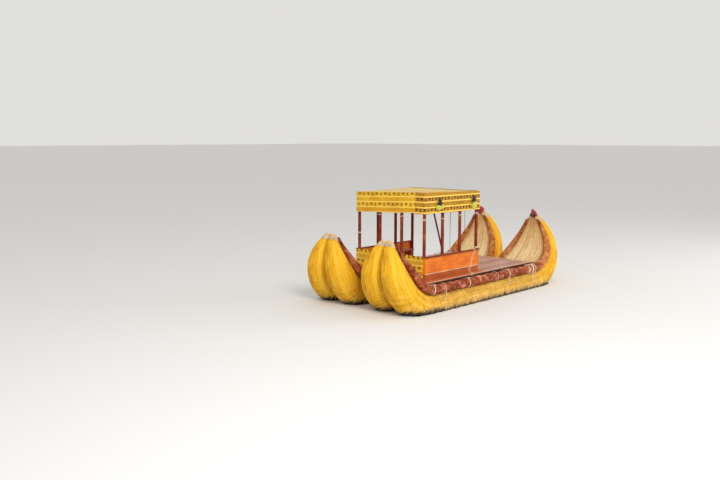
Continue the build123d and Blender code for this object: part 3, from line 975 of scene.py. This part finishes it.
iron = finish_material("rusty nail", lambda tree: ramp(
    noise(place(tree)[0], 60.0), (0.35, (0.05, 0.03, 0.025)), (0.65, (0.16, 0.06, 0.03))), rough=0.6)
nails = grow("nails", mesh, nail_rows, Radius=0.006, Material=iron)
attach(nails, "root")

batten_wood = finish_material("pale worn batten", worn_paint(
    (0.3, (0.46, 0.22, 0.12)), (0.6, (0.80, 0.55, 0.36))), rough=0.6)
batten_section = ((0.0, -0.011), (0.007, -0.011), (0.011, -0.006),
                  (0.011, 0.006), (0.007, 0.011), (0.0, 0.011))    # out from the wall, up
for side_name, hull_side in sides:
    rows = [[(x, hull_side * (wall_y + 0.0225) + hull_side * out, batten_z + 0.0015 * math.sin(5 * x) + up)
             for out, up in batten_section] for x in np.linspace(cabin_x - 1.178, cabin_x + 1.178, 25)]
    name = f"wall_batten_{side_name}"
    mesh = skin(name, np.array(rows), np.linspace(0, 2.36, 25), np.linspace(0, 1, 7), batten_wood)
    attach(stand(name, mesh), "root")


# Post ties. White cord is wound a few times round the posts below the plate, and one rope runs from the
# forward starboard post over the wall down to the deck's edge, where it is knotted.

def round_post(x, y, z, turns=3, reach=0.0462, pitch=0.011):
    return [(x + reach * math.cos(a), y + reach * math.sin(a), z + pitch * a / (2 * math.pi))
            for a in np.linspace(0, 2 * math.pi * turns, 18 * turns + 1)]


post_y, corner_x, inner_x, aft_post_y = 1.153, 1.138, 0.379, 0.384
ties = (    # x from the cabin's centre, y, height, turns
    (-corner_x, -post_y, 2.560, 4), (-inner_x, -post_y, 2.545, 3), (inner_x, -post_y, 2.600, 2),
    (corner_x, -post_y, 2.585, 4), (-corner_x, post_y, 2.050, 4), (-corner_x, aft_post_y, 2.620, 2),
    (-corner_x, -aft_post_y, 2.620, 2), (-inner_x, post_y, 2.600, 2), (inner_x, post_y, 2.600, 2),
    (corner_x, post_y, 2.600, 3),
)
lines = []
for dx, y, z, turns in ties:
    x, out = cabin_x + dx, 1 if y > 0 else -1
    lines.append(round_post(x, y, z, turns))
    lines.append(knot((x - 0.01, y + out * 0.056, z + 0.015), 0.016, 1.3))
    lines.append(ease_path([(x + 0.02 * s, y + out * (0.052 + 0.004 * s), z + 0.01 - 0.06 * s)
                            for s in (0, 0.4, 0.8, 1.3)], 10))
rope("post_ties", lines, 0.009, 7)

post_x, wall_face = cabin_x + corner_x, -1.2268
over_wall = [round_post(post_x, -post_y, 1.640, 3, 0.047)]
for shift in (0.0, 0.060):
    x = post_x - 0.235 + shift
    over_wall.append(ease_path([
        (post_x - 0.03, -1.198, 1.655), (post_x - 0.11, -1.225, 1.640), (x, -1.255, 1.633),
        (x - 0.012, -1.274, 1.618), (x - 0.014, -1.275, 1.598), (x - 0.018, -1.262, 1.56),
        (x - 0.06, wall_face - 0.012, 1.44), (x - 0.12, wall_face - 0.006, 1.30),
        (x - 0.15, wall_face - 0.018, 1.18), (x - 0.20, wall_face - 0.016, 1.12), (x - 0.27, -1.30, 1.05),
        (x - 0.35, -1.40, 1.024), (x - 0.43, -1.49, 1.024), (x - 0.445, -1.517, 1.027),
        (x - 0.450, -1.5235, 1.012), (x - 0.450, -1.5225, 0.965)], 90))
over_wall.append(knot((post_x - 0.390, wall_face - 0.026, 1.185), 0.026, 1.4))
over_wall.append(knot((post_x - 0.660, -1.515, 1.038), 0.030, 0.3))
rope("wall_rope", over_wall, 0.011)


# Valance. Two lengths of woven yellow cloth are nailed round the roof's edge and overlap on the aft side.
# Bands with rows of dark figures alternate with plain bands, and bright lines part them.

woven_bands, given = start_group("woven bands", Band_Height=0.138, Band_Start=0.0, First_Band=0.0,
                                 Figure_Pitch=0.160)
_, u, v, _ = place(woven_bands, "UV")
tall = (v - given["Band Start"]) / given["Band Height"]
band, from_middle = maths("FLOOR", tall), maths("FRACT", tall) - 0.5
up = abs(from_middle)
cell = band * 0.37 + u / given["Figure Pitch"]
side = abs(maths("FRACT", cell) - 0.5)
odd = maths("MODULO", abs(maths("FLOOR", cell)), 2.0)
waist, wedge = up * 0.75 + 0.07, from_middle * 0.7 + 0.19
inside = (side < odd * wedge + (1.0 - odd) * waist) * (up < 0.27)
with_figures = maths("MODULO", band + (given["First Band"] + 8.0), 2.0)
small_side = abs(maths("FRACT", cell * 2.0) - 0.5)
lozenge = (abs(small_side + up - 0.34) < 0.10) * (up < 0.34)
threads = 900.0    # radians to a metre
end_group(woven_bands, Figure=inside * with_figures, Small_Figure=lozenge * (1.0 - with_figures),
          Line=up > 0.39, Band=band, Height=maths("SINE", u * threads) * maths("SINE", v * threads))


def banded_cloth(name, first_band, band_start, pitch, figure, lowest, ground):
    """The cloth; the colours of its figures and its lowest band, and the darker and lighter of its ground."""
    def colour(tree):
        bands = use(tree, woven_bands, First_Band=first_band, Band_Start=band_start, Figure_Pitch=pitch)
        field = ramp(noise(place(tree)[0], 2.2, 4.0), (0.3, ground[0]), (0.7, ground[1]))
        field = blend((bands["Band"] < 0.5) * 0.55, field, lowest)
        # On the starboard and forward cloth (first band 1) the top band is painted darker: painted shade
        # under the roof's edge.
        field = blend((bands["Band"] > 2.5) * (first_band * 0.6), field, (0.50, 0.22, 0.015))
        field = blend(bands["Small Figure"] * 0.42, field, (0.30, 0.18, 0.012))
        field = blend(bands["Line"], field, (0.96, 0.64, 0.11))
        return {"colour": blend(bands["Figure"] * 0.93, field, figure), "height": bands["Height"]}
    return finish_material(name, colour, rough=0.8, depth=0.0006, sheen=0.1, shine=0.15)


roof_l, roof_w, valance_foot, valance_top = 1.200, 1.215, 2.705, 3.215
corner_ease = 0.03


def round_the_roof(s):
    """Point and outward direction at s metres round the roof's edge, from the forward port corner aft."""
    fore, aft = cabin_x + roof_l, cabin_x - roof_l
    legs = (((fore, roof_w), (-1, 0), (0, 1), 2 * roof_l), ((aft, roof_w), (0, -1), (-1, 0), 2 * roof_w),
            ((aft, -roof_w), (1, 0), (0, -1), 2 * roof_l), ((fore, -roof_w), (0, 1), (1, 0), 2 * roof_w))
    s = s % (4 * (roof_l + roof_w))
    for k, (start, run_to, out, length) in enumerate(legs):
        if s <= length:
            break
        s -= length
    point = np.array(start) + s * np.array(run_to)
    out = np.array(out, dtype=float)
    for near, other in ((s, legs[k - 1]), (length - s, legs[(k + 1) % 4])):
        if near < corner_ease:
            share = near / (2 * corner_ease)
            out = out * (0.5 + share) + np.array(other[2]) * (0.5 - share)
            point = point - (corner_ease - near) ** 2 / (2 * corner_ease) * out / np.linalg.norm(out) * 0.6
    return point, out / np.linalg.norm(out)


cloth_thickness = 0.002


def hang(name, mesh, offset):
    """Gives a hung cloth its thickness; offset 1 puts it all outside the mesh."""
    piece = stand(name, mesh)
    thick = piece.modifiers.new("cloth thickness", "SOLIDIFY")
    thick.thickness, thick.offset = cloth_thickness, offset
    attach(piece, "root")
    return piece


column_pitch, valance_rows = 0.014, 37


def valance(name, hem, material, layer, seed):
    """Hem rows give metres round the roof, and how far the foot, top and bands lie above their level."""
    dice = np.random.default_rng(seed)
    waves = [(dice.uniform(3, 13), dice.uniform(0, 6.28), dice.uniform(0.3, 1)) for _ in range(7)]
    at_s, foots, tops, shifts = np.array(hem).T
    columns = np.linspace(at_s[0], at_s[-1], int((at_s[-1] - at_s[0]) / column_pitch))
    rows = np.linspace(0, 1, valance_rows)
    points, rise = np.zeros((len(columns), len(rows), 3)), np.zeros((len(columns), len(rows)))
    for i, s in enumerate(columns):
        at, out = round_the_roof(s)
        wave = sum(size * math.sin(pitch * s + phase) for pitch, phase, size in waves) / 3
        foot = (valance_foot + np.interp(s, at_s, foots) + 0.006 * math.sin(4.1 * s + seed)
                + 0.004 * math.sin(11.0 * s))
        top = valance_top + np.interp(s, at_s, tops) + 0.002 * math.sin(6.3 * s + seed)
        for j, t in enumerate(rows):
            loose = 1 - t
            push = (layer + 0.002 + loose ** 1.4 * (0.010 + 0.009 * wave)
                    + 0.002 * math.sin(9 * s + 10 * t) * loose)
            z = foot + (top - foot) * t
            points[i, j] = (at[0] + out[0] * push, at[1] + out[1] * push, z)
            rise[i, j] = z - valance_foot - np.interp(s, at_s, shifts)
    mesh = skin(name, points, columns, rise, material, closed=False)
    return hang(name, mesh, 1.0)


port_cloth = banded_cloth("valance cloth, port", 0.0, 0.006, 0.155, (0.20, 0.085, 0.008), (0.72, 0.30, 0.010),
                          ((0.62, 0.31, 0.008), (0.92, 0.55, 0.025)))
# The starboard and forward cloth is the same cloth as the port and aft one, painted darker all over, figures
# too: painted shade.
shaded_stbd_cloth = banded_cloth("valance cloth, starboard", 1.0, 0.045, 0.136, (0.045, 0.012, 0.008),
                          (0.50, 0.25, 0.012), ((0.32, 0.14, 0.006), (0.56, 0.28, 0.018)))
port_hem = ((-0.04, 0.0, 0.006, 0.0), (2.40, -0.050, -0.018, -0.050), (4.56, 0.045, 0.072, 0.050))
stbd_hem = ((4.52, 0.020, 0.070, 0.012), (4.83, 0.026, 0.075, 0.012), (7.23, 0.010, 0.012, -0.012),
            (9.655, 0.0, 0.006, -0.012))
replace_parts(valance("valance_port_and_aft", port_hem, port_cloth, 0.0, 2), "valance_port", "valance_aft")
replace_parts(valance("valance_stbd_and_fwd", stbd_hem, shaded_stbd_cloth, 0.0035, 5), "valance_stbd", "valance_fwd")


# Aft wall cloth. The same woven cloth is laid over the top board of the aft wall and hangs down outside
# it nearly to the deck.

# Its ground is a little lighter than the port valance's: painted light that lifts the shade it hangs in.
wall_cloth = banded_cloth("aft wall cloth", 0.0, 0.080, 0.155, (0.10, 0.040, 0.008), (0.62, 0.20, 0.010),
                          ((0.66, 0.35, 0.008), (0.95, 0.60, 0.025)))
wall_back, wall_front = cabin_x - 1.2206, cabin_x - 1.1953
cloth_half, cloth_foot, cloth_top = 1.1950, 1.040, 1.6250
columns = np.linspace(-cloth_half, cloth_half, 170)
drop = [(wall_front, cloth_top - 0.0015), (wall_back, cloth_top), (wall_back - 0.0018, cloth_top - 0.001)]
drop += [(wall_back - 0.0025, z) for z in np.linspace(cloth_top - 0.012, cloth_foot, 34)]
length = [0.0]
for a, b in zip(drop, drop[1:]):
    length.append(length[-1] + math.dist(a, b))
points = np.zeros((len(columns), len(drop), 3))
for i, y in enumerate(columns):
    wave = 0.5 + 0.5 * math.sin(7.3 * y + 1.0 + 0.9 * math.sin(3.1 * y))
    for j, (x, z) in enumerate(drop):
        loose = max(0.0, (cloth_top - z) / (cloth_top - cloth_foot))
        points[i, j] = (x - 0.012 * loose * wave, y, z + 0.004 * loose * math.sin(5 * y))
rise = [length[-1] - s + 0.012 for s in length]
mesh = skin("aft_wall_cloth_hung", points, columns, rise, wall_cloth, closed=False)
aft_cloth = hang("aft_wall_cloth_hung", mesh, 0.0)
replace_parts(aft_cloth, "aft_wall_cloth")


# Roof mat. Whole reeds lie side by side over the rafters in two layers and are sewn together by five
# runs of twine.

laid_reeds, given = start_growth("laid reeds", Length=2.38, Width=2.41, Pitch=0.0138, Thickness=0.013, Seed=1)
count = given["Width"] / given["Pitch"]
row = step(laid_reeds, "MeshLine", mode="OFFSET", Count=count,
           Offset=vector(0.0, given["Width"] / count, 0.0))
row = step(laid_reeds, "SetPosition", Geometry=row,
           Offset=vector(0.0, (given["Width"] - given["Pitch"]) * -0.5, 0.0))
jitter = step(laid_reeds, "RandomValue", data_type="FLOAT_VECTOR", Min=(-0.010, -0.001, -0.0009),
              Max=(0.010, 0.001, 0.0009), Seed=given["Seed"])
row = step(laid_reeds, "SetPosition", Geometry=row, Offset=jitter)
reed = step(laid_reeds, "MeshCylinder", Vertices=8, Side_Segments=6, Depth=given["Length"],
            Radius=given["Thickness"] * 0.5)
reed = step(laid_reeds, "Transform", Geometry=reed, Rotation=(0.0, math.pi / 2, 0.0))
size = step(laid_reeds, "RandomValue", data_type="FLOAT_VECTOR", Min=(0.992, 0.86, 0.86),
            Max=(1.0, 1.06, 1.06), Seed=given["Seed"] + 3.0)
set_out = step(laid_reeds, "InstanceOnPoints", Points=row, Instance=reed, Scale=size)
tone = step(laid_reeds, "RandomValue", Seed=given["Seed"])
set_out = step(laid_reeds, "StoreNamedAttribute", domain="INSTANCE", Geometry=set_out, Name="tone",
               Value=tone)
keep(laid_reeds, set_out, given)


def mat_colour(tree):
    _, x, y, _ = place(tree)
    streak = noise((x, y * 60.0, 0.0), 2.0, 4.0)
    return {"colour": ramp(mark(tree, "tone") * 0.5 + streak * 0.5, (0.2, (0.38, 0.24, 0.07)),
                           (0.5, (0.68, 0.48, 0.17)), (0.8, (0.86, 0.68, 0.34))), "height": streak}


mat_reed = finish_material("roof mat reed", mat_colour, rough=0.75, depth=0.001)
mat_top = 3.2145
for layer, z, seed in (("top", mat_top - 0.0072, 4), ("under", mat_top - 0.0200, 9)):
    mat = grow(f"roof_reeds_{layer}", guide([[(0, 0, 0)]]), laid_reeds, Length=2.372, Width=2.408,
               Pitch=0.0138, Thickness=0.0125, Seed=seed, Material=mat_reed)
    for vertex in mat.data.vertices:
        vertex.co.x += cabin_x
        vertex.co.z += z
    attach(mat, "root")
    if layer == "top":
        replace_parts(mat, "roof_mat")
stitch, stitches = 0.0276, []
for x in (-1.05, -0.53, 0.0, 0.53, 1.05):
    stitches.append([(cabin_x + x + 0.004 * math.sin(9 * y), y,
                      mat_top + 0.0012 - 0.0022 * math.cos(2 * math.pi * y / stitch))
                     for y in np.linspace(-1.2, 1.2, 700)])
rope("roof_twine", stitches, 0.004, 5)


# Tassels. Two hang on the outside of the starboard valance, one towards each end. Each is a cone of dark
# wool strands over a pair of yellow-green woollen pompoms.

pompom_wool = wool("yellow-green wool", (0.55, 0.56, 0.02), (0.86, 0.84, 0.06), (0.97, 0.95, 0.32))
black_wool = wool("black wool", (0.006, 0.006, 0.005), (0.015, 0.013, 0.012), (0.05, 0.045, 0.035))
tassel_y = -roof_w - 0.0583 - 0.012
cone_rings = ((0.004, 1.0, 0.038), (0.003, 0.85, 0.046), (0.0, 0.62, 0.036), (-0.004, 0.38, 0.022),
              (-0.006, 0.18, 0.012), (-0.006, 0.0, 0.005))    # lean, share of the way down, half width
for name, x, top, long, balls in (    # each ball has x from the cone's, height and radius
    ("aft", cabin_x - 0.660, 3.150, 0.205, ((-0.062, 2.880, 0.050), (0.058, 2.898, 0.044))),
    ("fwd", cabin_x + 0.840, 3.125, 0.165, ((0.030, 2.925, 0.046), (-0.012, 2.835, 0.050))),
):
    rings = [(x + lean, tassel_y, top - long * down, wide, wide + 0.004) for lean, down, wide in cone_rings]
    cone = pile(f"tassel_{name}_cone", lump(rings, 3, 20), black_wool, (7000.0, 0.020, 0.007, 0.4), 6)
    for k, (dx, z, size) in enumerate(balls):
        rings = []
        for t in np.linspace(0.15, math.pi - 0.15, 9):
            belly = size * math.sin(t) + 0.002
            rings.append((x + dx, tassel_y, z - size * math.cos(t), belly, belly))
        ball = pile(f"tassel_{name}_pompom_{k + 1}", lump(rings, 4 + k, 20), pompom_wool,
                    (11000.0, 0.022, 0.007, 0.6), 8 + k)
    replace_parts(cone, f"tassel_{name}")


# Hanging cord. A thin dark cord, laid like the ropes, hangs loose from the starboard plate behind the
# valance and ends in a knot below it.

cord_exit, cord_length = (cabin_x + 0.600, -post_y, 3.0887), 1.00
cord_path = [(cord_exit[0] + 0.004 * math.sin(5 * t) * t, cord_exit[1] + 0.003 * math.sin(3 * t) * t,
              cord_exit[2] - cord_length * t * 0.99995) for t in np.linspace(0, 1, 60)]


def cord_fibre(tree):
    fibre = rope_fibre(tree)
    return {"colour": blend(0.93, fibre["colour"], (0.030, 0.018, 0.012)), "height": fibre["height"]}


dark_cord = finish_material("dark cord", cord_fibre, rough=0.85, depth=0.001)
cord = rope("cord_hanging", [cord_path], 0.010, 10, dark_cord)
cord_end = (*cord_path[-1][:2], cord_path[-1][2] - 0.002)
end_knot = rope("cord_end_knot", [knot(cord_end, 0.014, 1.2)], 0.010, material=dark_cord)
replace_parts(cord, "hanging_cord")


# Wet fringe. Broken reed ends, black with weed, stick out of the bundles' skin along the waterline on
# the outer and the inner side of each hull. Their black is also painted shade where the hull meets the water.

# Near-black reed ends: wet reed, and painted shade at the waterline.
wet_reed_and_shade = finish_material("wet reed ends", lambda tree: ramp(
    mark(tree, "tone"), (0.1, (0.012, 0.010, 0.006)), (0.6, (0.05, 0.035, 0.015)),
    (0.95, (0.22, 0.15, 0.06))), rough=0.35)
waterline = 0.285
wet_to = 35    # degrees up the curls
for side_name, hull_side in sides:
    verts, faces = [], []
    for lane in (1, -1):
        first = len(verts)
        for x, angle, _ in run_of_stations(50, 30):
            if abs(angle) > wet_to:
                continue
            centre, out, _, r = bundle_centre(x, angle, hull_side, lane)
            for low, reach in ((waterline + 0.004, -0.006), (waterline + 0.028, 0.006)):
                c = max(-1.0, (low - centre[2]) / (r * out[2]))
                to_skin = c * out + hull_side * lane * math.sqrt(1 - c * c) * sideways
                verts.append(tuple(centre + (r + reach) * to_skin))
        for a in range(first, len(verts) - 2, 2):
            quad = (a, a + 1, a + 3, a + 2)
            faces.append(quad if hull_side * lane > 0 else quad[::-1])
    mesh = bpy.data.meshes.new("fringe strip")
    mesh.from_pydata(verts, [], faces)
    fringe = grow(f"wet_fringe_{side_name}", mesh, stubs, Density=3600.0, Length=0.060, Thickness=0.010,
                  Splay=0.7, Seed=21, Keep_Base=False, Material=wet_reed_and_shade)
    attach(fringe, "root")


# Floor, light and camera. A plain pale floor lies at the waterline. Two large soft lamps and an even pale
# world light the boat, and the camera looks at it from aft and to starboard.

floor_half = 400
floor_mesh = bpy.data.meshes.new("floor")
floor_corners = [(floor_half * i, floor_half * j, waterline) for i, j in ((-1, -1), (1, -1), (1, 1), (-1, 1))]
floor_mesh.from_pydata(floor_corners, [], [(0, 1, 2, 3)])
floor_mesh.materials.append(finish_material("pale floor", lambda tree: (0.78, 0.77, 0.75), rough=0.9))
floor = stand("floor", floor_mesh)

world = bpy.data.worlds.new("studio")
world.use_nodes = True
world.node_tree.nodes["Background"].inputs[0].default_value = (1.0, 0.99, 0.97, 1)
world.node_tree.nodes["Background"].inputs[1].default_value = 0.75
bpy.context.scene.world = world

aim = np.array((0, 0, 1))
for name, spot, size, power in (("key", (-12, -16, 14), 9.0, 2600), ("fill", (14, -14, 9), 10.0, 900)):
    lamp = bpy.data.lights.new(name, "AREA")
    lamp.shape, lamp.size, lamp.energy = "DISK", size, power
    holder = stand(name, lamp)
    holder.location = spot
    back = np.array(spot) - aim
    holder.rotation_euler = (math.atan2(math.hypot(back[0], back[1]), back[2]), 0,
                             math.atan2(back[1], back[0]) + math.pi / 2)

camera_down, camera_ahead = 7.394, (0.7228, 0.6910)    # degrees below level, x and y of its direction
camera_data = bpy.data.cameras.new("camera")
camera_data.lens = 39.495
camera_data.sensor_width = 36.0
camera = stand("camera", camera_data)
camera.location = (-17.937, -13.913, 4.685)
camera.rotation_euler = (math.radians(90 - camera_down), 0,
                         math.atan2(camera_ahead[1], camera_ahead[0]) - math.pi / 2)
bpy.context.scene.camera = camera

bpy.context.scene.view_settings.view_transform = "Standard"
